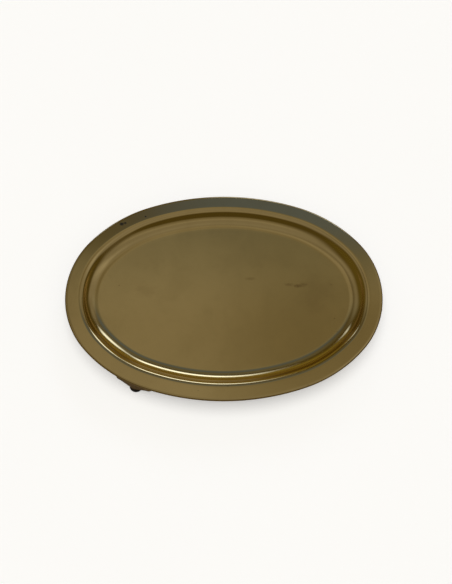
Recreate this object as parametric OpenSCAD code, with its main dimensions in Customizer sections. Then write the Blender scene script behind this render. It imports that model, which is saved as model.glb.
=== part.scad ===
// Oval brass serving tray: one pressed sheet with a sunk well and a wired edge,
// carried on three splayed brass feet with rubber tips.
// Origin: on the table, under the middle of the tray. +X runs along the tray, +Z is up.

/* [Tray] */
// Length over the rim
tray_length = 320; // [280:1:400]
// Width over the rim
tray_width = 219; // [180:1:250]
// How the outline narrows to its ends: low is blunt, high is pointed
end_taper = 0.63; // [0.5:0.01:0.8]
// Reach of each end arc to either side of the long axis, in degrees
end_arc = 42; // [36:1:46]
// Thickness of the sheet
sheet = 1; // [0.8:0.1:1.4]

/* [Rim] */
// Width of the flat rim, from its outer edge to its inner bend
rim_width = 12.7; // [10:0.1:18]
// Fall of the rim towards its outer edge, in degrees
rim_fall = 3; // [0:0.5:8]
// Radius of the bend from the rim into the wall, on the upper side
rim_bend = 7.2; // [5:0.1:10]
// Diameter of the wire inside the rolled edge
wire_d = 2.4; // [1.6:0.1:3]
// How far the sheet is rolled round the wire, in degrees
curl = 255; // [200:5:280]

/* [Well] */
// Depth of the floor below the inner edge of the rim
well_depth = 11.1; // [9.2:0.1:14]
// Slope of the wall, in degrees
wall_slope = 53.5; // [44:0.5:65]
// Largest radius of the bend from the wall into the floor, on the upper side
floor_bend = 16.5; // [8:0.5:20]

/* [Feet] */
// Height of the inner edge of the rim above the table
rim_height = 25; // [22:0.5:40]
// Direction that the two left feet face, in degrees from the long axis
foot_turn = 67.2; // [50:0.5:82]
// Lean of each foot, in degrees from upright
foot_splay = 17; // [8:1:20]
// Distance of each tip's middle inside the edge of the rim
tip_inset = 3.4; // [2:0.1:6]
// Length of the foot's top, along the rim
foot_top_length = 41; // [40:1:60]
// Width of the foot's top, across the rim
foot_top_width = 12; // [10:0.5:14]
// How far the foot's top is set inwards from its own line
foot_top_offset = -2; // [-3:0.5:3]
// Thickness of the foot's top flange
foot_flange = 3; // [2:0.5:4]
// Radius of the foot where the rubber tip meets it
ankle_r = 7; // [6.5:0.5:9]
// Radius of the spigot that the rubber tip is pushed onto
spigot_r = 5.2; // [4.8:0.1:5.6]
// Length of the spigot
spigot_length = 2.8; // [2.4:0.1:6]
// Depth of the screw's seat above the lower end of the spigot
counterbore = 4.5; // [4:0.5:6]

/* [Rubber tips] */
// Radius of the tip where it stands
tip_r = 6.5; // [6.2:0.1:8]
// Height of the tip along the foot's own line
tip_height = 5.6; // [5:0.1:10]

/* [Blocks and screws] */
// Height of a block along the foot's own line
block_height = 7.5; // [5:0.5:8]
// Length of a block along the rim
block_length = 24; // [16:1:30]
// Distance of the block's outer face inside the edge of the rim
block_outer = 5.2; // [5:0.1:8]
// Distance of the block's inner face inside the edge of the rim
block_inner = 15.5; // [13:0.5:17]
// Diameter of the screws
screw_d = 4; // [3:0.5:5]
// Depth of the thread in the blocks
thread_depth = 4.5; // [3:0.5:5]
// Diameter of the screw heads
head_d = 7; // [6:0.5:8]
// Height of the screw heads
head_h = 2.4; // [2:0.1:3]
// Width of the hexagon sockets across their corners
socket_d = 2.8; // [2:0.1:3]
// Thickness of the spring washers
washer_t = 1; // [0.8:0.1:1.4]

/* [Fits] */
// Gap round the wire inside the rolled edge
wire_gap = 0.05; // [0:0.01:0.2]
// Film of solder between a block and the rim
solder_gap = 0.1; // [0.05:0.01:0.2]
// Gap between a screw and its tapped hole, and between a tip and its spigot
snug_gap = 0.05; // [0.02:0.01:0.1]
// Gap round the screw and its head inside the foot
free_gap = 0.2; // [0.1:0.05:0.5]

/* [Hidden] */
$fn = 96;

// Which way each foot faces
FRONT = 180 + foot_turn;
BACK = 180 - foot_turn;
RIGHT = 0;
FEET = [FRONT, BACK, RIGHT];

// The outline is an oval of eight tangent arcs: two ends, two sides and four shoulders between them
half_length = tray_length / 2;
half_width = tray_width / 2;
end_r = half_width * pow(half_width / half_length, end_taper);
shoulder_r = half_width * pow(half_length / half_width, end_taper);
end_centre = half_length - end_r;
shoulder_x = end_centre + (end_r - shoulder_r) * cos(end_arc);
shoulder_y = (end_r - shoulder_r) * sin(end_arc);
side_rise = half_width - shoulder_r - shoulder_y;
side_extra = (pow(shoulder_x, 2) + pow(side_rise, 2)) / (2 * side_rise);
side_r = shoulder_r + side_extra;
side_centre = half_width - side_r;
side_start = acos(shoulder_x / side_extra);
shoulder_arc = side_start - end_arc;
side_arc = 180 - 2 * side_start;

// Each arc: its centre, radius, first direction and sweep, going round from the right end
OVAL = [
  [[end_centre, 0], end_r, -end_arc, 2 * end_arc],
  [[shoulder_x, shoulder_y], shoulder_r, end_arc, shoulder_arc],
  [[0, side_centre], side_r, side_start, side_arc],
  [[-shoulder_x, shoulder_y], shoulder_r, 180 - side_start, shoulder_arc],
  [[-end_centre, 0], end_r, 180 - end_arc, 2 * end_arc],
  [[-shoulder_x, -shoulder_y], shoulder_r, 180 + end_arc, shoulder_arc],
  [[0, -side_centre], side_r, 180 + side_start, side_arc],
  [[shoulder_x, -shoulder_y], shoulder_r, 360 - side_start, shoulder_arc],
];

// The arc that faces a direction
function arc_facing(turn) = [
  for (a = OVAL)
    for (lap = [0, -360])
      if (turn + lap >= a[2] && turn + lap <= a[2] + a[3]) a
][0];

// Points along an arc
function bow(centre, r, from, to, steps) = [
  for (i = [0 : steps])
    let (w = from + (to - from) * i / steps)
    centre + r * [cos(w), sin(w)]
];

// Directions of the rings that a swept section is placed at
TURNS = [for (turn = [0 : 4 : 356]) turn];

// The rings of a section swept round the oval
function rings(section) = [
  for (turn = TURNS)
    let (a = arc_facing(turn))
    for (p = section)
      let (reach = a[1] + p.x)
      [a[0].x + reach * cos(turn), a[0].y + reach * sin(turn), p.y]
];

// The faces between one ring and the next, over a number of steps of a section of count points
function skin(count, steps) = [
  for (i = [0 : len(TURNS) - 1])
    for (k = [0 : steps - 1])
      let (here = i * count)
      let (ahead = ((i + 1) % len(TURNS)) * count)
      let (next = (k + 1) % count)
      [here + k, ahead + k, ahead + next, here + next]
];

// Section of the sheet: x is 0 at the rim's outer edge and negative inwards, y is the height
roll_r = wire_d / 2 + wire_gap + sheet;
roll_centre = [
  -roll_r,
  rim_height - (rim_width - roll_r) * tan(rim_fall) - roll_r / cos(rim_fall),
];
curl_end = 90 - rim_fall - curl;

// Least drop of straight wall that is left between its two bends
wall_least = 0.4;
rim_bend_centre = [-rim_width, rim_height] - rim_bend * [sin(rim_fall), cos(rim_fall)];
rim_bend_drop = rim_bend * (cos(rim_fall) - cos(wall_slope));
floor_room = well_depth - rim_bend_drop - wall_least;
floor_bend_r = min(floor_bend, floor_room / (1 - cos(wall_slope)));
floor_bend_drop = floor_bend_r * (1 - cos(wall_slope));
wall_run = (well_depth - rim_bend_drop - floor_bend_drop) / sin(wall_slope);
wall_top = rim_bend_centre + rim_bend * [-sin(wall_slope), cos(wall_slope)];
wall_foot = wall_top - wall_run * [cos(wall_slope), sin(wall_slope)];
floor_bend_centre = wall_foot + floor_bend_r * [-sin(wall_slope), cos(wall_slope)];
floor_top = rim_height - well_depth;
bend_steps = 5;
curl_steps = 10;
wire_steps = 10;

// Height of the rim's underside at a distance x from its outer edge
function rim_under(x) = rim_height - (x + rim_width) * tan(rim_fall) - sheet / cos(rim_fall);

// Where a foot's own line meets the rim's underside
meet_height = (rim_under(-tip_inset)) / (1 - tan(foot_splay) * tan(rim_fall));

// Places along a foot's own line, measured up from the table
foot_length = meet_height / cos(foot_splay) - block_height;
spigot_end = tip_height - spigot_length;
screw_seat = spigot_end + counterbore;
head_top = screw_seat - washer_t;
screw_end = foot_length + thread_depth;

// Puts a piece at the rim: x is outwards and 0 on the rim's outer edge, y runs along the rim
module at_rim(turn) {
  a = arc_facing(turn);
  translate([a[0].x, a[0].y, 0])
    rotate(turn)
      translate([a[1], 0, 0])
        children();
}

// Puts a piece on a foot's own line: z leans inwards from the table up to the rim
module at_foot(turn) {
  at_rim(turn)
    translate([-tip_inset, 0, 0])
      rotate([0, -foot_splay, 0])
        children();
}

// The pressed sheet: from the middle of the floor out over the rim, round the wire and back below
module tray_body() {
  section = concat(
    bow(floor_bend_centre, floor_bend_r, -90, wall_slope - 90, bend_steps),
    bow(rim_bend_centre, rim_bend, 90 + wall_slope, 90 - rim_fall, bend_steps),
    bow(roll_centre, roll_r, 90 - rim_fall, curl_end, curl_steps),
    bow(roll_centre, roll_r - sheet, curl_end, 90 - rim_fall, curl_steps),
    bow(rim_bend_centre, rim_bend - sheet, 90 - rim_fall, 90 + wall_slope, bend_steps),
    bow(floor_bend_centre, floor_bend_r + sheet, wall_slope - 90, -90, bend_steps)
  );
  count = len(section);
  last_turn = len(TURNS) - 1;
  floor_above = [for (i = [last_turn : -1 : 0]) i * count];
  floor_below = [for (i = [0 : last_turn]) (i + 1) * count - 1];
  color("#8a7642")
    polyhedron(rings(section), concat(skin(count, count - 1), [floor_above, floor_below]));
}

// The wire that stiffens the edge, closed in one ring
module edge_wire() {
  section = [
    for (i = [0 : wire_steps - 1])
      let (w = i * 360 / wire_steps)
      roll_centre + wire_d / 2 * [cos(w), -sin(w)]
  ];
  color("#9a9a94")
    polyhedron(rings(section), skin(wire_steps, wire_steps));
}

// A wedge of brass soldered under the rim, tapped for the foot's screw
module foot_block(turn) {
  a = arc_facing(turn);
  middle_r = a[1] - (block_outer + block_inner) / 2;
  half_sweep = asin(block_length / 2 / middle_r);
  solder_r = rim_bend - sheet - solder_gap;
  block_turn = asin((block_inner + rim_bend_centre.x) / solder_r);
  color("#a88c46")
    difference() {
      intersection() {
        translate([a[0].x, a[0].y, 0])
          rotate(turn - half_sweep)
            rotate_extrude(angle = 2 * half_sweep)
              translate([a[1], 0])
                polygon(concat(
                  [[-block_inner, 0], [-block_outer, 0]],
                  [[-block_outer, rim_under(-block_outer) - solder_gap]],
                  bow(rim_bend_centre, solder_r, 90 - rim_fall, 90 + block_turn, 4)
                ));
        at_foot(turn)
          translate([-block_length, -block_length, foot_length])
            cube(2 * block_length);
      }
      at_foot(turn)
        cylinder(d = screw_d + 2 * snug_gap, h = screw_end + free_gap);
    }
}

// One layer of the foot: a disc drawn out along the rim
module foot_layer(height, length, width, inset, thickness) {
  for (side = [-1, 1])
    translate([-inset, side * (length - width) / 2, height])
      cylinder(d = width, h = thickness, $fn = 32);
}

// A cast foot: wide where it meets the rim, narrow at its ankle, hollow for the screw
module foot(turn) {
  waist = (tip_height + foot_length) / 2;
  waist_length = foot_top_length / 2 + ankle_r + 2;
  color("#7c6538")
    at_foot(turn)
      difference() {
        union() {
          hull() {
            foot_layer(
              foot_length - foot_flange,
              foot_top_length,
              foot_top_width,
              foot_top_offset,
              foot_flange
            );
            foot_layer(waist, waist_length, 2 * ankle_r - 1, foot_top_offset / 2, 0.5);
            foot_layer(tip_height, 2 * ankle_r, 2 * ankle_r, 0, 1);
          }
          translate([0, 0, spigot_end])
            cylinder(r = spigot_r, h = spigot_length + 1);
        }
        cylinder(d = screw_d + 2 * free_gap, h = foot_length + 1);
        cylinder(d = head_d + 2 * free_gap, h = screw_seat);
      }
}

// A rubber tip, pushed over the spigot and cut level where it stands
module tip(turn) {
  color("#161412")
    difference() {
      at_foot(turn)
        difference() {
          rotate_extrude()
            polygon(concat(
              [[0, -tip_height / 2], [tip_r, -tip_height / 2]],
              bow([ankle_r - 1, tip_height - 1], 1, 0, 90, 6),
              [[0, tip_height]]
            ));
          translate([0, 0, spigot_end - snug_gap])
            cylinder(r = spigot_r + snug_gap, h = spigot_length + 1);
        }
      at_rim(turn)
        translate([-tray_width / 2, -tray_width / 2, -tip_height])
          cube([tray_width, tray_width, tip_height]);
    }
}

// Pan-head screws with a hexagon socket, one up through each foot
module foot_screws() {
  color("#b9b5aa")
    for (turn = FEET)
      at_foot(turn)
        difference() {
          union() {
            translate([0, 0, head_top - head_h])
              cylinder(d = head_d, h = head_h);
            translate([0, 0, head_top - 1])
              cylinder(d = screw_d, h = screw_end - head_top);
            translate([0, 0, screw_end - 1])
              cylinder(d1 = screw_d, d2 = screw_d - 1, h = 1);
          }
          cylinder(d = socket_d, h = head_top - head_h / 3, $fn = 6);
        }
}

// Split spring washers between each screw's head and its foot
module spring_washers() {
  color("#8f8c84")
    for (turn = FEET)
      at_foot(turn)
        translate([0, 0, head_top])
          difference() {
            cylinder(d = head_d, h = washer_t);
            translate([0, 0, -1])
              cylinder(d = screw_d + 2 * snug_gap, h = washer_t + 2);
            translate([0, -washer_t / 2, -1])
              cube([head_d, washer_t, washer_t + 2]);
          }
}

tray_body();
edge_wire();
foot_block(FRONT);  // front_block
foot_block(BACK);  // back_block
foot_block(RIGHT);  // right_block
foot(FRONT);  // front_foot
foot(BACK);  // back_foot
foot(RIGHT);  // right_foot
tip(FRONT);  // front_tip
tip(BACK);  // back_tip
tip(RIGHT);  // right_tip
foot_screws();
spring_washers();
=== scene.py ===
import math

import bmesh
import bpy
from mathutils import Matrix, Vector, noise


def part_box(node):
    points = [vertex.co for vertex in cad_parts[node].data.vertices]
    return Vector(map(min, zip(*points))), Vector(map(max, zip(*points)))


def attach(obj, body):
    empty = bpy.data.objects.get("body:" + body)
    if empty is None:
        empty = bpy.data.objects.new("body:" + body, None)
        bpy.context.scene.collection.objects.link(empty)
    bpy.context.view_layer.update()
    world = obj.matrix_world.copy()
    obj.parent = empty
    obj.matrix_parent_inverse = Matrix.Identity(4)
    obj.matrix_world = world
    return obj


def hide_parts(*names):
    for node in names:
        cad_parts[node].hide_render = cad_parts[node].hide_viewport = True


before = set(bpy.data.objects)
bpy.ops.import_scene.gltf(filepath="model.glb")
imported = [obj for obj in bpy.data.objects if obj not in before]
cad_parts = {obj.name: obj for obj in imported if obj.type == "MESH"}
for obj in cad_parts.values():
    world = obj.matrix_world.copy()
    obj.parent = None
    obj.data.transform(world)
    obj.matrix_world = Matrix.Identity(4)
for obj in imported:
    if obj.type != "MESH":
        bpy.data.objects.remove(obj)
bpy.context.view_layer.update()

# ---------------------------------------------------------------------------
# Camera: held in front of the tray, looking steeply down at it.
# ---------------------------------------------------------------------------
MM = 0.001
tray_low, tray_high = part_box("tray_body")
RIM_TOP = tray_high.z

SENSOR = 36.0
LENS = 43.15
VIEW_ELEVATION = math.radians(70)
VIEW_DISTANCE = 705.5 * MM
VIEW_AIM = Vector((2.16 * MM, 1.4 * MM, RIM_TOP - 1.5 * MM))


def link(name, data):
    """Puts a new object into the scene."""
    thing = bpy.data.objects.new(name, data)
    bpy.context.scene.collection.objects.link(thing)
    return thing


camera_data = bpy.data.cameras.new("view_camera")
camera_data.sensor_fit = "AUTO"
camera_data.sensor_width = SENSOR
camera_data.lens = LENS
camera_data.dof.use_dof = False
camera_data.clip_start = 0.01
camera_data.clip_end = 50.0
camera = link("view_camera", camera_data)
towards_camera = Vector((0.0, -math.cos(VIEW_ELEVATION), math.sin(VIEW_ELEVATION)))
camera.location = VIEW_AIM + towards_camera * VIEW_DISTANCE
camera.rotation_euler = (-towards_camera).to_track_quat("-Z", "Y").to_euler()
bpy.context.scene.camera = camera

# ---------------------------------------------------------------------------
# Tray body: one sheet of brass, pressed into a shallow well with a flat rim,
# its edge rolled round a wire. Satin metal, gone dull, with a few old stains.
# ---------------------------------------------------------------------------
HALF_LENGTH = (tray_high.x - tray_low.x) / 2
HALF_WIDTH = (tray_high.y - tray_low.y) / 2
END_TAPER = 0.63
END_ARC = math.radians(42)
SHEET = 1.0 * MM
RIM_WIDTH = 12.7 * MM
RIM_FALL = math.radians(3)
RIM_BEND = 7.2 * MM
WALL_SLOPE = math.radians(53.5)
FLOOR_BEND = 16.5 * MM
WELL_DEPTH = 11.1 * MM
ROLL_RADIUS = 2.25 * MM
CURL = math.radians(255)
STATIONS = 400
FLOOR_RINGS = 26
FLOOR_BEND_STEPS = 26
WALL_STEPS = 3
RIM_BEND_STEPS = 20
RIM_STEPS = 8
CURL_STEPS = 26


def oval_arcs():
    """The outline's eight tangent arcs: centre x and y, radius, first direction, sweep."""
    end_r = HALF_WIDTH * (HALF_WIDTH / HALF_LENGTH) ** END_TAPER
    shoulder_r = HALF_WIDTH * (HALF_LENGTH / HALF_WIDTH) ** END_TAPER
    end_x = HALF_LENGTH - end_r
    shoulder_x = end_x + (end_r - shoulder_r) * math.cos(END_ARC)
    shoulder_y = (end_r - shoulder_r) * math.sin(END_ARC)
    rise = HALF_WIDTH - shoulder_r - shoulder_y
    extra = (shoulder_x ** 2 + rise ** 2) / (2 * rise)
    side_y = HALF_WIDTH - shoulder_r - extra
    side_start = math.acos(shoulder_x / extra)
    shoulder = side_start - END_ARC
    half = [
        (end_x, 0.0, end_r, -END_ARC, 2 * END_ARC),
        (shoulder_x, shoulder_y, shoulder_r, END_ARC, shoulder),
        (0.0, side_y, shoulder_r + extra, side_start, math.pi - 2 * side_start),
        (-shoulder_x, shoulder_y, shoulder_r, math.pi - side_start, shoulder),
    ]
    return half + [(-x, -y, r, start + math.pi, sweep) for x, y, r, start, sweep in half]


ARCS = oval_arcs()


def arc_facing(turn):
    """The arc of the outline whose outward direction is turn."""
    inside = [arc for arc in ARCS if (turn - arc[3]) % math.tau <= arc[4]]
    return inside[0] if inside else min(ARCS, key=lambda a: abs((turn - a[3]) % math.tau - a[4]))


def bow(centre, radius, start, end, steps):
    """Points of an arc in a section."""
    angles = [start + (end - start) * i / steps for i in range(steps + 1)]
    return [(centre[0] + radius * math.cos(a), centre[1] + radius * math.sin(a)) for a in angles]


def straight(a, b, steps):
    """Points between two points of a section, without the two."""
    run, rise = (b[0] - a[0]) / steps, (b[1] - a[1]) / steps
    return [(a[0] + run * i, a[1] + rise * i) for i in range(1, steps)]


def sheet_faces():
    """Both faces of the sheet as (outward distance, height) points, from the floor to the curl's end."""
    up = math.pi / 2
    roll_drop = (RIM_WIDTH - ROLL_RADIUS) * math.tan(RIM_FALL) + ROLL_RADIUS / math.cos(RIM_FALL)
    roll = (-ROLL_RADIUS, RIM_TOP - roll_drop)
    bend = (-RIM_WIDTH - RIM_BEND * math.sin(RIM_FALL), RIM_TOP - RIM_BEND * math.cos(RIM_FALL))
    rim_bend_drop = RIM_BEND * (math.cos(RIM_FALL) - math.cos(WALL_SLOPE))
    floor_bend_drop = FLOOR_BEND * (1 - math.cos(WALL_SLOPE))
    wall = (WELL_DEPTH - rim_bend_drop - floor_bend_drop) / math.sin(WALL_SLOPE)
    lean = (-math.sin(WALL_SLOPE), math.cos(WALL_SLOPE))
    foot_of_wall = (bend[0] + RIM_BEND * lean[0] - wall * math.cos(WALL_SLOPE),
                    bend[1] + RIM_BEND * lean[1] - wall * math.sin(WALL_SLOPE))
    floor = (foot_of_wall[0] + FLOOR_BEND * lean[0], foot_of_wall[1] + FLOOR_BEND * lean[1])
    faces = []
    for skin in (0.0, SHEET):
        low = bow(floor, FLOOR_BEND + skin, -up, WALL_SLOPE - up, FLOOR_BEND_STEPS)
        high = bow(bend, RIM_BEND - skin, up + WALL_SLOPE, up - RIM_FALL, RIM_BEND_STEPS)
        curl = bow(roll, ROLL_RADIUS - skin, up - RIM_FALL, up - RIM_FALL - CURL, CURL_STEPS)
        wall_face = straight(low[-1], high[0], WALL_STEPS)
        rim_face = straight(high[-1], curl[0], RIM_STEPS)
        faces.append(low + wall_face + high + rim_face + curl)
    return faces


def wander(x, y):
    """How far the hand-finished sheet strays from its true height."""
    broad = noise.noise(Vector((x * 16 + 3.1, y * 16, 0.4)))
    close = noise.noise(Vector((x * 42, y * 42 + 7.7, 2.9)))
    return (0.07 * broad + 0.012 * close) * MM


def finish_mesh(name, mesh):
    """Turns finished mesh code into a smooth-shaded object."""
    bmesh.ops.recalc_face_normals(mesh, faces=mesh.faces)
    data = bpy.data.meshes.new(name)
    mesh.to_mesh(data)
    mesh.free()
    data.polygons.foreach_set("use_smooth", [True] * len(data.polygons))
    return link(name, data)


def join_rings(mesh, a, b):
    """Quads between two closed rings of the same count."""
    for i in range(len(a)):
        j = (i + 1) % len(a)
        mesh.faces.new((a[i], b[i], b[j], a[j]))


def close_ring(mesh, ring, point):
    """A fan from a ring to one middle point."""
    middle = mesh.verts.new(point)
    for i in range(len(ring)):
        mesh.faces.new((middle, ring[i], ring[(i + 1) % len(ring)]))


def pressed_tray():
    turns = [math.tau * i / STATIONS for i in range(STATIONS)]
    arcs = [arc_facing(turn) for turn in turns]
    mesh = bmesh.new()

    def ring(distance, height, share=1.0):
        row = []
        for turn, (cx, cy, r, _, _) in zip(turns, arcs):
            x = (cx + (r + distance) * math.cos(turn)) * share
            y = (cy + (r + distance) * math.sin(turn)) * share
            row.append(mesh.verts.new((x, y, height + wander(x, y))))
        return row

    ends = []
    for face in sheet_faces():
        rows = [ring(*face[0], share=k / FLOOR_RINGS) for k in range(1, FLOOR_RINGS)]
        rows += [ring(*point) for point in face]
        for a, b in zip(rows, rows[1:]):
            join_rings(mesh, a, b)
        close_ring(mesh, rows[0], (0, 0, face[0][1] + wander(0, 0)))
        ends.append(rows[-1])
    join_rings(mesh, *ends)
    return finish_mesh("pressed_tray", mesh)


class Tree:
    """Short names for making and joining shader nodes."""

    def __init__(self, tree):
        self.nodes, self.links = tree.nodes, tree.links

    def add(self, kind, inputs=None, **settings):
        node = self.nodes.new("ShaderNode" + kind)
        for name, value in settings.items():
            setattr(node, name, value)
        for key, value in (inputs or {}).items():
            socket = node.inputs[key]
            if isinstance(value, bpy.types.NodeSocket):
                self.links.new(value, socket)
            else:
                socket.default_value = value
        return node

    def math(self, operation, a, b=0.0, clamp=False):
        return self.add("Math", {0: a, 1: b}, operation=operation, use_clamp=clamp).outputs[0]

    def vector(self, operation, a, b):
        return self.add("VectorMath", {0: a, 1: b}, operation=operation)

    def span(self, value, low, high, start=0.0, end=1.0):
        inputs = {"Value": value, "From Min": low, "From Max": high, "To Min": start, "To Max": end}
        return self.add("MapRange", inputs, interpolation_type="SMOOTHSTEP").outputs[0]

    def cloud(self, where, scale, detail=3.0, roughness=0.5, distortion=0.0):
        inputs = {"Vector": where, "Scale": scale, "Detail": detail}
        inputs |= {"Roughness": roughness, "Distortion": distortion}
        return self.add("TexNoise", inputs).outputs["Fac"]

    def mix(self, amount, a, b):
        node = self.add("Mix", {"Factor": amount}, data_type="RGBA")
        for key, value in ((6, a), (7, b)):
            if isinstance(value, bpy.types.NodeSocket):
                self.links.new(value, node.inputs[key])
            else:
                node.inputs[key].default_value = (*value, 1)
        return node.outputs[2]


def group(name, inputs, outputs):
    """A shared shader effect: its node group and the tree helper inside it."""
    tree = bpy.data.node_groups.new(name, "ShaderNodeTree")
    for title, kind in inputs:
        tree.interface.new_socket(title, in_out="INPUT", socket_type="NodeSocket" + kind)
    for title, kind in outputs:
        tree.interface.new_socket(title, in_out="OUTPUT", socket_type="NodeSocket" + kind)
    given = tree.nodes.new("NodeGroupInput").outputs
    out = tree.nodes.new("NodeGroupOutput").inputs
    return tree, Tree(tree), given, out


def soft_grain():
    """Fine satin grain with a few hairlines: a height for bump and a mask."""
    tree, t, given, out = group(
        "soft_grain",
        [("Where", "Vector"), ("Size", "Float"), ("Hairlines", "Float")],
        [("Height", "Float"), ("Mask", "Float")],
    )
    scale = t.math("DIVIDE", 1.0, given["Size"])
    fine = t.cloud(given["Where"], scale, 4.0, 0.62)
    marks = []
    for turn, thin, density in ((0.35, 0.05, 0.5), (-1.1, 0.06, 0.4)):
        turned = {"Vector": given["Where"], "Rotation": (0, 0, turn), "Scale": (thin, 1, 1)}
        along = t.add("Mapping", turned).outputs[0]
        lines = t.cloud(along, t.math("MULTIPLY", scale, density), 2.0)
        marks.append(t.span(lines, 0.66, 0.79))
    scratch = t.math("MULTIPLY", t.math("MAXIMUM", *marks), given["Hairlines"])
    tree.links.new(t.math("SUBTRACT", fine, scratch), out["Height"])
    rubbed = t.math("ADD", t.math("MULTIPLY", fine, 0.6), t.math("MULTIPLY", scratch, 0.4))
    tree.links.new(rubbed, out["Mask"])
    return tree


def old_tarnish():
    """Cloudy ageing of bare metal at two sizes, as one mask from clean to dull."""
    tree, t, given, out = group(
        "old_tarnish",
        [("Where", "Vector"), ("Size", "Float"), ("Amount", "Float")],
        [("Mask", "Float")],
    )
    scale = t.math("DIVIDE", 1.0, given["Size"])
    wide = t.span(t.cloud(given["Where"], scale, 4.0, 0.55, 0.4), 0.36, 0.68)
    close = t.span(t.cloud(given["Where"], t.math("MULTIPLY", scale, 6.0), 5.0, 0.6), 0.45, 0.75)
    both = t.math("ADD", t.math("MULTIPLY", wide, 0.7), t.math("MULTIPLY", close, 0.3))
    tree.links.new(t.math("MULTIPLY", both, given["Amount"], True), out["Mask"])
    return tree


def ragged_spot():
    """One stain with a broken edge, at a given middle and half size."""
    tree, t, given, out = group(
        "ragged_spot",
        [
            ("Where", "Vector"),
            ("Middle", "Vector"),
            ("Reach", "Vector"),
            ("Raggedness", "Float"),
            ("Grain", "Float"),
        ],
        [("Mask", "Float")],
    )
    offset = t.vector("SUBTRACT", given["Where"], given["Middle"]).outputs[0]
    scaled = t.vector("DIVIDE", offset, given["Reach"]).outputs[0]
    far = t.add("VectorMath", {0: scaled}, operation="LENGTH").outputs["Value"]
    stray = t.math("SUBTRACT", t.cloud(given["Where"], given["Grain"], 5.0, 0.65), 0.5)
    edge = t.math("ADD", far, t.math("MULTIPLY", stray, given["Raggedness"]))
    tree.links.new(t.span(edge, 1.15, 0.45), out["Mask"])
    return tree


GRAIN, TARNISH, SPOT = soft_grain(), old_tarnish(), ragged_spot()


def place(t, tree, inputs, output):
    """Puts a shared effect into a material with its own values."""
    node = t.add("Group", node_tree=tree)
    for key, value in inputs.items():
        if isinstance(value, bpy.types.NodeSocket):
            t.links.new(value, node.inputs[key])
        else:
            node.inputs[key].default_value = value
    return node.outputs[output]


def new_material(name):
    """A material with its shader, its tree helper and object coordinates."""
    material = bpy.data.materials.new(name)
    material.use_nodes = True
    shader = material.node_tree.nodes["Principled BSDF"]
    t = Tree(material.node_tree)
    return material, shader, t, t.add("TexCoord").outputs["Object"]


def feed(t, shader, colour, roughness, height, depth):
    """Joins colour, roughness and bump to a material's shader."""
    t.links.new(colour, shader.inputs["Base Color"])
    t.links.new(roughness, shader.inputs["Roughness"])
    bump = t.add("Bump", {"Height": height, "Strength": 0.6, "Distance": depth})
    t.links.new(bump.outputs[0], shader.inputs["Normal"])


# Each old stain on the upper side: its middle (x, y) and half size (x, y) in mm, how
# deep it is and its colour
BLUE_GREY, BROWN = (0.10, 0.10, 0.11), (0.30, 0.17, 0.06)
STAINS = (
    ((-106.5, 76.5), (2.9, 2.2), 1.0, BLUE_GREY),
    ((-103.0, 77.5), (1.8, 1.6), 0.9, BLUE_GREY),
    ((-82.0, 85.0), (1.3, 1.1), 1.0, BLUE_GREY),
    ((27.0, 19.5), (7.0, 2.2), 0.28, BROWN),
    ((67.0, 13.0), (6.0, 2.2), 0.35, BROWN),
    ((75.5, 11.5), (6.0, 2.4), 0.6, BROWN),
    ((81.5, 13.0), (5.0, 3.4), 0.35, BROWN),
    ((110.0, 13.0), (0.9, 0.7), 0.6, BROWN),
    ((111.5, -23.5), (0.9, 0.7), 0.7, BROWN),
    ((113.5, -37.5), (0.8, 0.7), 0.6, BROWN),
    ((-107.5, 12.0), (0.9, 0.8), 0.6, BROWN),
    ((-80.0, 6.0), (15.0, 9.0), 0.1, BROWN),
    ((95.0, 2.0), (22.0, 26.0), 0.12, BROWN),
    ((4.0, -95.0), (1.6, 0.7), 0.4, BLUE_GREY),
    ((81.0, -94.0), (0.7, 0.6), 0.55, BLUE_GREY),
    ((-24.5, -99.5), (0.6, 0.5), 0.5, BLUE_GREY),
)


def tray_brass():
    material, shader, t, where = new_material("tray_brass")
    dull = place(t, TARNISH, {"Where": where, "Size": 55 * MM, "Amount": 0.85}, "Mask")
    grain = {"Where": where, "Size": 0.9 * MM, "Hairlines": 0.35}
    worn = place(t, GRAIN, grain, "Mask")
    colour = t.mix(dull, (0.775, 0.60, 0.293), (0.69, 0.53, 0.252))
    colour = t.mix(t.span(worn, 0.2, 0.6, 0.0, 0.22), colour, (0.66, 0.50, 0.23))
    rough = t.math("ADD", t.span(dull, 0.0, 1.0, 0.08, 0.13), t.math("MULTIPLY", worn, 0.03))
    for (x, y), (reach_x, reach_y), depth, tone in STAINS:
        values = {
            "Where": where,
            "Middle": (x * MM, y * MM, RIM_TOP - 5 * MM),
            "Reach": (reach_x * MM, reach_y * MM, 12 * MM),
            "Raggedness": 1.3,
            "Grain": 1.6 / (reach_y * MM),
        }
        mask = t.math("MULTIPLY", place(t, SPOT, values, "Mask"), depth)
        colour = t.mix(mask, colour, tone)
        rough = t.math("ADD", rough, t.math("MULTIPLY", mask, 0.12))
    feed(t, shader, colour, rough, place(t, GRAIN, grain, "Height"), 0.007 * MM)
    shader.inputs["Metallic"].default_value = 1.0
    return material


tray = pressed_tray()
tray.data.materials.append(tray_brass())
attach(tray, "root")
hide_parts("tray_body")

# ---------------------------------------------------------------------------
# Feet: three cast brass feet, wide under the rim and narrow at the ankle.
# Dark with age and rough from the mould.
# ---------------------------------------------------------------------------
TIP_INSET = 3.4 * MM
FOOT_SPLAY = math.radians(17)
FOOT_HEIGHT = 17.49 * MM
ANKLE_HEIGHT = 5.6 * MM
ANKLE_RADIUS = 7.0 * MM
FOOT_FLANGE = 3.0 * MM
FOOT_TOP_HALF_LENGTH = 20.5 * MM
FOOT_TOP_HALF_WIDTH = 6.0 * MM
FOOT_TOP_OFFSET = -2.0 * MM
ROUND_STEPS = 72
LEG_STEPS = 16
FEET = {
    "front": math.radians(180 + 67.2),
    "back": math.radians(180 - 67.2),
    "right": 0.0,
}


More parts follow.
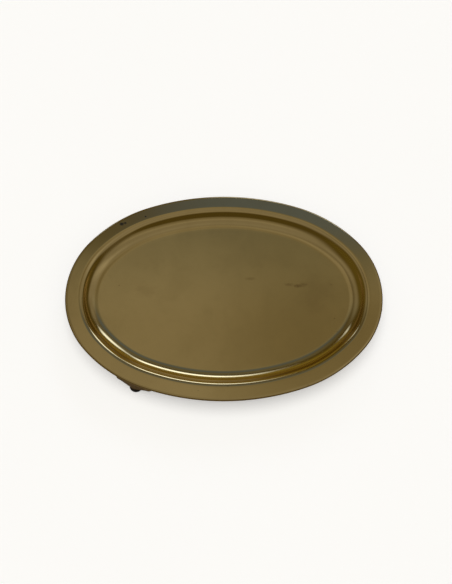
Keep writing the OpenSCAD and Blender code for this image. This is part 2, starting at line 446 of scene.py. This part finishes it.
def on_foot(turn):
    """The place of a foot's own line: z leans inwards from the table up to the rim."""
    cx, cy, r, _, _ = arc_facing(turn)
    facing_out = Matrix.Translation((cx, cy, 0)) @ Matrix.Rotation(turn, 4, "Z")
    at_tip = facing_out @ Matrix.Translation((r - TIP_INSET, 0, 0))
    return at_tip @ Matrix.Rotation(-FOOT_SPLAY, 4, "Y")


def stadium(mesh, matrix, half_length, half_width, inset, height):
    """A ring with straight sides and round ends."""
    ring = []
    for i in range(ROUND_STEPS):
        a = math.tau * (i + 0.5) / ROUND_STEPS
        push = math.copysign(half_length - half_width, math.sin(a))
        point = (half_width * math.cos(a) - inset, half_width * math.sin(a) + push, height)
        ring.append(mesh.verts.new(matrix @ Vector(point)))
    return ring


def cast_foot(name, turn):
    mesh = bmesh.new()
    matrix = on_foot(turn)
    low, high = ANKLE_HEIGHT + 0.8 * MM, FOOT_HEIGHT - FOOT_FLANGE
    rows = []
    for cut, rise in ((0.5, 0.02), (0.15, 0.15), (0.0, 0.5)):
        ankle = ANKLE_RADIUS - cut * MM
        rows.append((ankle, ankle, 0.0, ANKLE_HEIGHT + rise * MM))
    flare = FOOT_TOP_HALF_LENGTH - 0.7 * MM - ANKLE_RADIUS
    taper = FOOT_TOP_HALF_WIDTH - 0.5 * MM - ANKLE_RADIUS
    for i in range(LEG_STEPS + 1):
        s = i / LEG_STEPS
        waist = 0.2 * MM * math.sin(math.pi * s)
        length, width = ANKLE_RADIUS + flare * s ** 0.8, ANKLE_RADIUS + taper * s - waist
        rows.append((length, width, FOOT_TOP_OFFSET * s, low + (high - low) * s))
    for cut, rise in ((0.35, 0.15), (0.05, 0.45), (0.0, 0.9), (0.0, 2.3), (0.1, 2.75), (0.45, 2.98)):
        length, width = FOOT_TOP_HALF_LENGTH - cut * MM, FOOT_TOP_HALF_WIDTH - cut * MM
        rows.append((length, width, FOOT_TOP_OFFSET, high + rise * MM))
    rings = [stadium(mesh, matrix, *row) for row in rows]
    for a, b in zip(rings, rings[1:]):
        join_rings(mesh, a, b)
    close_ring(mesh, rings[0], matrix @ Vector((0, 0, rows[0][3])))
    close_ring(mesh, rings[-1], matrix @ Vector((-FOOT_TOP_OFFSET, 0, rows[-1][3])))
    foot = finish_mesh(name + "_cast_foot", mesh)
    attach(foot, "root")
    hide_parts(name + "_foot")
    return foot


def foot_brass():
    material, shader, t, where = new_material("foot_brass")
    dull = place(t, TARNISH, {"Where": where, "Size": 9 * MM, "Amount": 1.0}, "Mask")
    height = place(t, GRAIN, {"Where": where, "Size": 0.7 * MM, "Hairlines": 0.1}, "Height")
    pits = t.span(t.cloud(where, 1 / (0.5 * MM), 2.0), 0.62, 0.8)
    colour = t.mix(dull, (0.68, 0.52, 0.30), (0.42, 0.30, 0.17))
    colour = t.mix(t.math("MULTIPLY", pits, 0.6), colour, (0.12, 0.08, 0.045))
    rough = t.math("ADD", t.span(dull, 0.0, 1.0, 0.38, 0.55), t.math("MULTIPLY", pits, 0.15))
    feed(t, shader, colour, rough, t.math("SUBTRACT", height, pits), 0.06 * MM)
    shader.inputs["Metallic"].default_value = 1.0
    return material


FOOT_BRASS = foot_brass()
for side, turn in FEET.items():
    cast_foot(side, turn).data.materials.append(FOOT_BRASS)

# ---------------------------------------------------------------------------
# Rubber tips: black moulded rubber, pushed over the feet's spigots and worn
# flat where they stand, with a moulding line round the middle.
# ---------------------------------------------------------------------------
TIP_RADIUS = 6.5 * MM
SOLE_ROUNDING = 0.9 * MM

# The tip's outline up its own line: share of its radius, and height in mm
TIP_OUTLINE = (
    (0.35, -2.6), (0.8, -2.1), (0.93, -1.6), (1.0, -0.8), (1.0, 0.4), (1.0, 2.2),
    (1.01, 2.5), (1.035, 2.65), (1.035, 2.8), (1.015, 2.95), (1.02, 3.2), (1.06, 4.2),
    (1.072, 4.6), (1.06, 5.0), (1.02, 5.35), (0.96, 5.54), (0.9, 5.6),
)


def rubber_tip(name, turn):
    mesh = bmesh.new()
    matrix = on_foot(turn)
    rings = []
    for share, height in TIP_OUTLINE:
        ring = []
        for i in range(ROUND_STEPS):
            a = math.tau * i / ROUND_STEPS
            r = TIP_RADIUS * share
            point = matrix @ Vector((r * math.cos(a), r * math.sin(a), height * MM))
            sink = SOLE_ROUNDING - point.z
            if sink > 0:
                point.z = SOLE_ROUNDING * math.exp(-sink / SOLE_ROUNDING)
            ring.append(mesh.verts.new(point))
        rings.append(ring)
    for a, b in zip(rings, rings[1:]):
        join_rings(mesh, a, b)
    base = matrix @ Vector((0, 0, -2.7 * MM))
    close_ring(mesh, rings[0], (base.x, base.y, 0.01 * MM))
    close_ring(mesh, rings[-1], matrix @ Vector((0, 0, ANKLE_HEIGHT)))
    tip = finish_mesh(name + "_rubber_tip", mesh)
    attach(tip, "root")
    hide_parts(name + "_tip")
    return tip


def tip_rubber():
    material, shader, t, where = new_material("tip_rubber")
    dust = place(t, TARNISH, {"Where": where, "Size": 4 * MM, "Amount": 1.0}, "Mask")
    height = place(t, GRAIN, {"Where": where, "Size": 0.4 * MM, "Hairlines": 0.2}, "Height")
    near_table = t.span(t.add("SeparateXYZ", {0: where}).outputs["Z"], 3 * MM, 0.0)
    scuffed = t.math("MULTIPLY", near_table, t.span(t.cloud(where, 1 / (0.8 * MM)), 0.4, 0.65))
    colour = t.mix(dust, (0.010, 0.009, 0.009), (0.020, 0.018, 0.016))
    colour = t.mix(t.math("MULTIPLY", scuffed, 0.5), colour, (0.05, 0.046, 0.042))
    rough = t.math("ADD", t.span(dust, 0.0, 1.0, 0.55, 0.7), t.math("MULTIPLY", scuffed, 0.2))
    feed(t, shader, colour, rough, height, 0.03 * MM)
    return material


TIP_RUBBER = tip_rubber()
for side, turn in FEET.items():
    rubber_tip(side, turn).data.materials.append(TIP_RUBBER)

# ---------------------------------------------------------------------------
# Blocks: sawn brass, soldered under the rim. Saw lines run along them, and
# grey solder has crept over their upper edges.
# ---------------------------------------------------------------------------
SOLDER_EDGE = (23.0 * MM, 23.6 * MM)
SAW_PITCH = 2.2 * MM


def dress(node, material):
    """Gives a carried-over piece its material."""
    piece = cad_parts[node]
    piece.data.materials.clear()
    piece.data.materials.append(material)


def block_brass():
    material, shader, t, where = new_material("block_brass")
    dull = place(t, TARNISH, {"Where": where, "Size": 7 * MM, "Amount": 0.9}, "Mask")
    lines = {"Vector": where, "Scale": 1 / SAW_PITCH, "Distortion": 3.0}
    lines |= {"Detail": 3.0, "Detail Scale": 2.0}
    saw = t.add("TexWave", lines, bands_direction="Z").outputs["Fac"]
    level = t.add("SeparateXYZ", {0: where}).outputs["Z"]
    ragged = t.math("ADD", level, t.math("MULTIPLY", t.cloud(where, 1 / (2 * MM), 4.0), 1.6 * MM))
    solder = t.span(ragged, *SOLDER_EDGE)
    colour = t.mix(dull, (0.66, 0.50, 0.24), (0.42, 0.30, 0.14))
    colour = t.mix(solder, colour, (0.42, 0.41, 0.39))
    rough = t.math("ADD", t.span(dull, 0.0, 1.0, 0.3, 0.45), t.math("MULTIPLY", solder, 0.1))
    feed(t, shader, colour, rough, saw, 0.02 * MM)
    shader.inputs["Metallic"].default_value = 1.0
    return material


BLOCK_BRASS = block_brass()
for side in FEET:
    dress(side + "_block", BLOCK_BRASS)

# ---------------------------------------------------------------------------
# Wire and screws: drawn steel wire closed in the rolled edge, and zinc-plated
# screws with spring washers, which the rubber tips cover.
# ---------------------------------------------------------------------------


def dull_steel(name, tone, dark, size):
    material, shader, t, where = new_material(name)
    dull = place(t, TARNISH, {"Where": where, "Size": size, "Amount": 1.0}, "Mask")
    height = place(t, GRAIN, {"Where": where, "Size": 0.3 * MM, "Hairlines": 0.6}, "Height")
    feed(t, shader, t.mix(dull, tone, dark), t.span(dull, 0.0, 1.0, 0.28, 0.5), height, 0.01 * MM)
    shader.inputs["Metallic"].default_value = 1.0
    return material


dress("edge_wire", dull_steel("wire_steel", (0.55, 0.54, 0.52), (0.30, 0.25, 0.20), 12 * MM))
SCREW_STEEL = dull_steel("screw_steel", (0.68, 0.67, 0.62), (0.45, 0.43, 0.38), 3 * MM)
for node in ("foot_screws", "spring_washers"):
    dress(node, SCREW_STEEL)

# ---------------------------------------------------------------------------
# Table: a plain pale surface that goes on past the edges of the view. It is
# darker where the brass reflects it than where it is seen.
# ---------------------------------------------------------------------------
TABLE_HALF_SIZE = 6.0
TABLE_CLEARANCE = 0.05 * MM

top = bmesh.new()
bmesh.ops.create_grid(top, x_segments=1, y_segments=1, size=TABLE_HALF_SIZE)
table = finish_mesh("table", top)
table.location.z = -TABLE_CLEARANCE


def table_white():
    material, shader, t, where = new_material("table_white")
    tone = t.mix(t.cloud(where, 3.0), (0.86, 0.86, 0.86), (0.88, 0.88, 0.88))
    path = t.add("LightPath").outputs
    # painted shade: the table turns dark brown wherever the brass reflects it
    tone = t.mix(path["Is Glossy Ray"], tone, (0.2, 0.17, 0.13))
    t.links.new(tone, shader.inputs["Base Color"])
    shader.inputs["Roughness"].default_value = 0.9
    shader.inputs["Specular IOR Level"].default_value = 0.0
    shader.inputs["Emission Color"].default_value = (1.0, 1.0, 1.0, 1.0)
    t.links.new(t.math("MULTIPLY", path["Is Camera Ray"], 0.46), shader.inputs["Emission Strength"])
    return material


table.data.materials.append(table_white())

# ---------------------------------------------------------------------------
# Light: a dim room with a warm ceiling and brown walls, three cool windows low
# beyond the tray, and one broad soft light from above for the table.
# ---------------------------------------------------------------------------

# Tints of the room's light
PLAIN, WARM, DUSK = (1.0, 1.0, 1.0), (1.05, 1.0, 0.85), (0.65, 0.85, 1.0)
DAYLIGHT, SKY, WOOD = (0.6, 0.72, 1.0), (0.13, 0.42, 1.0), (1.0, 0.8, 0.1)
ROOM_BASE = (0.08, 0.06, 0.015)

# Each soft panel of the room, in degrees from straight overhead: its middle, half width
# and softness to the right, the same towards the far side, its brightness and its tint
ROOM = {
    "ceiling": ((10, 51, 18), (-27, 25, 19), 0.155, PLAIN),
    "ceiling_right": ((44, 21, 8), (10, 23, 14), 0.17, PLAIN),
    "ceiling_left": ((-43, 14, 13), (11, 24, 20), 0.13, PLAIN),
    "ceiling_middle": ((20, 25, 14), (-9, 9, 12), 0.05, PLAIN),
    "overhead": ((2, 22, 2), (11, 13, 6), 0.1, WARM),
    "overhead_left": ((-12, 13, 6), (13, 11, 6), 0.07, PLAIN),
    "near_strip": ((13, 34, 12), (-52, 12, 2), 0.065, WARM),
    "far_blue": ((7, 15, 10), (33, 5, 4), 0.165, SKY),
    "far_grey": ((7, 22, 12), (46, 7, 6), 0.08, DUSK),
    "far_pale": ((7, 26, 12), (25, 4, 5), 0.07, DUSK),
    "far_side": ((-40, 17, 23), (35, 9, 9), 0.06, DUSK),
    "window_left": ((-35, 5, 3), (58, 6, 4), 1.0, DAYLIGHT),
    "window_middle": ((6, 10, 5), (68, 4, 6), 3.5, DAYLIGHT),
    "window_right": ((27, 9, 6), (58, 6, 4), 2.2, DAYLIGHT),
    "window_edge": ((42, 11, 7), (41, 8, 8), 0.12, PLAIN),
    "left_wall": ((-79, 24, 25), (-9, 50, 4), 0.03, WOOD),
    "right_wall": ((88, 3, 10), (2, 112, 7), 0.03, WOOD),
    "far_wall": ((4, 53, 16), (94, 24, 12), 0.12, WOOD),
}


def room():
    world = bpy.data.worlds.new("dim_room")
    bpy.context.scene.world = world
    world.use_nodes = True
    world.node_tree.nodes.clear()
    t = Tree(world.node_tree)
    way = t.add("SeparateXYZ", {0: t.add("TexCoord").outputs["Generated"]}).outputs
    tilt = t.math("MULTIPLY", t.math("ARCCOSINE", way["Z"]), 180 / math.pi)
    squares = [t.math("MULTIPLY", way[axis], way[axis]) for axis in ("X", "Y")]
    level = t.math("SQRT", t.math("ADD", *squares))
    scale = t.math("DIVIDE", tilt, t.math("MAXIMUM", level, 1e-5))
    right, far = t.math("MULTIPLY", way["X"], scale), t.math("MULTIPLY", way["Y"], scale)
    total = t.add("CombineXYZ", dict(enumerate(ROOM_BASE))).outputs[0]
    path = t.add("LightPath").outputs
    # The windows are full on the first reflection and dim from the second on
    once = t.span(path["Ray Depth"], 2.9, 2.1, 0.12, 1.0)
    for name, (across, along, brightness, tint) in ROOM.items():
        masks = []
        for value, (middle, half, soft) in ((right, across), (far, along)):
            away = t.math("ABSOLUTE", t.math("SUBTRACT", value, middle))
            masks.append(t.span(away, half + 0.9 * soft, half - 0.9 * soft))
        mask = t.math("MULTIPLY", *masks)
        if name.startswith("window"):
            mask = t.math("MULTIPLY", mask, once)
        light = [brightness * part for part in tint]
        panel = t.add("VectorMath", {0: light, "Scale": mask}, operation="SCALE").outputs[0]
        total = t.vector("ADD", total, panel).outputs[0]
    lit = t.add("Background", {"Color": total})
    plain = t.add("Background", {"Color": (0.93, 0.93, 0.925, 1.0)})
    both = t.add("MixShader", {0: path["Is Camera Ray"], 1: lit.outputs[0], 2: plain.outputs[0]})
    t.add("OutputWorld", {"Surface": both.outputs[0]})


room()

lamp_data = bpy.data.lights.new("overhead_light", "SUN")
lamp_data.energy = 1.2
lamp_data.angle = math.radians(50)
lamp = link("overhead_light", lamp_data)
lamp.rotation_euler = Vector((0.05, -0.12, -1.0)).to_track_quat("-Z", "Y").to_euler()
lamp.visible_glossy = False

bpy.context.scene.view_settings.view_transform = "Standard"
bpy.context.scene.view_settings.look = "None"
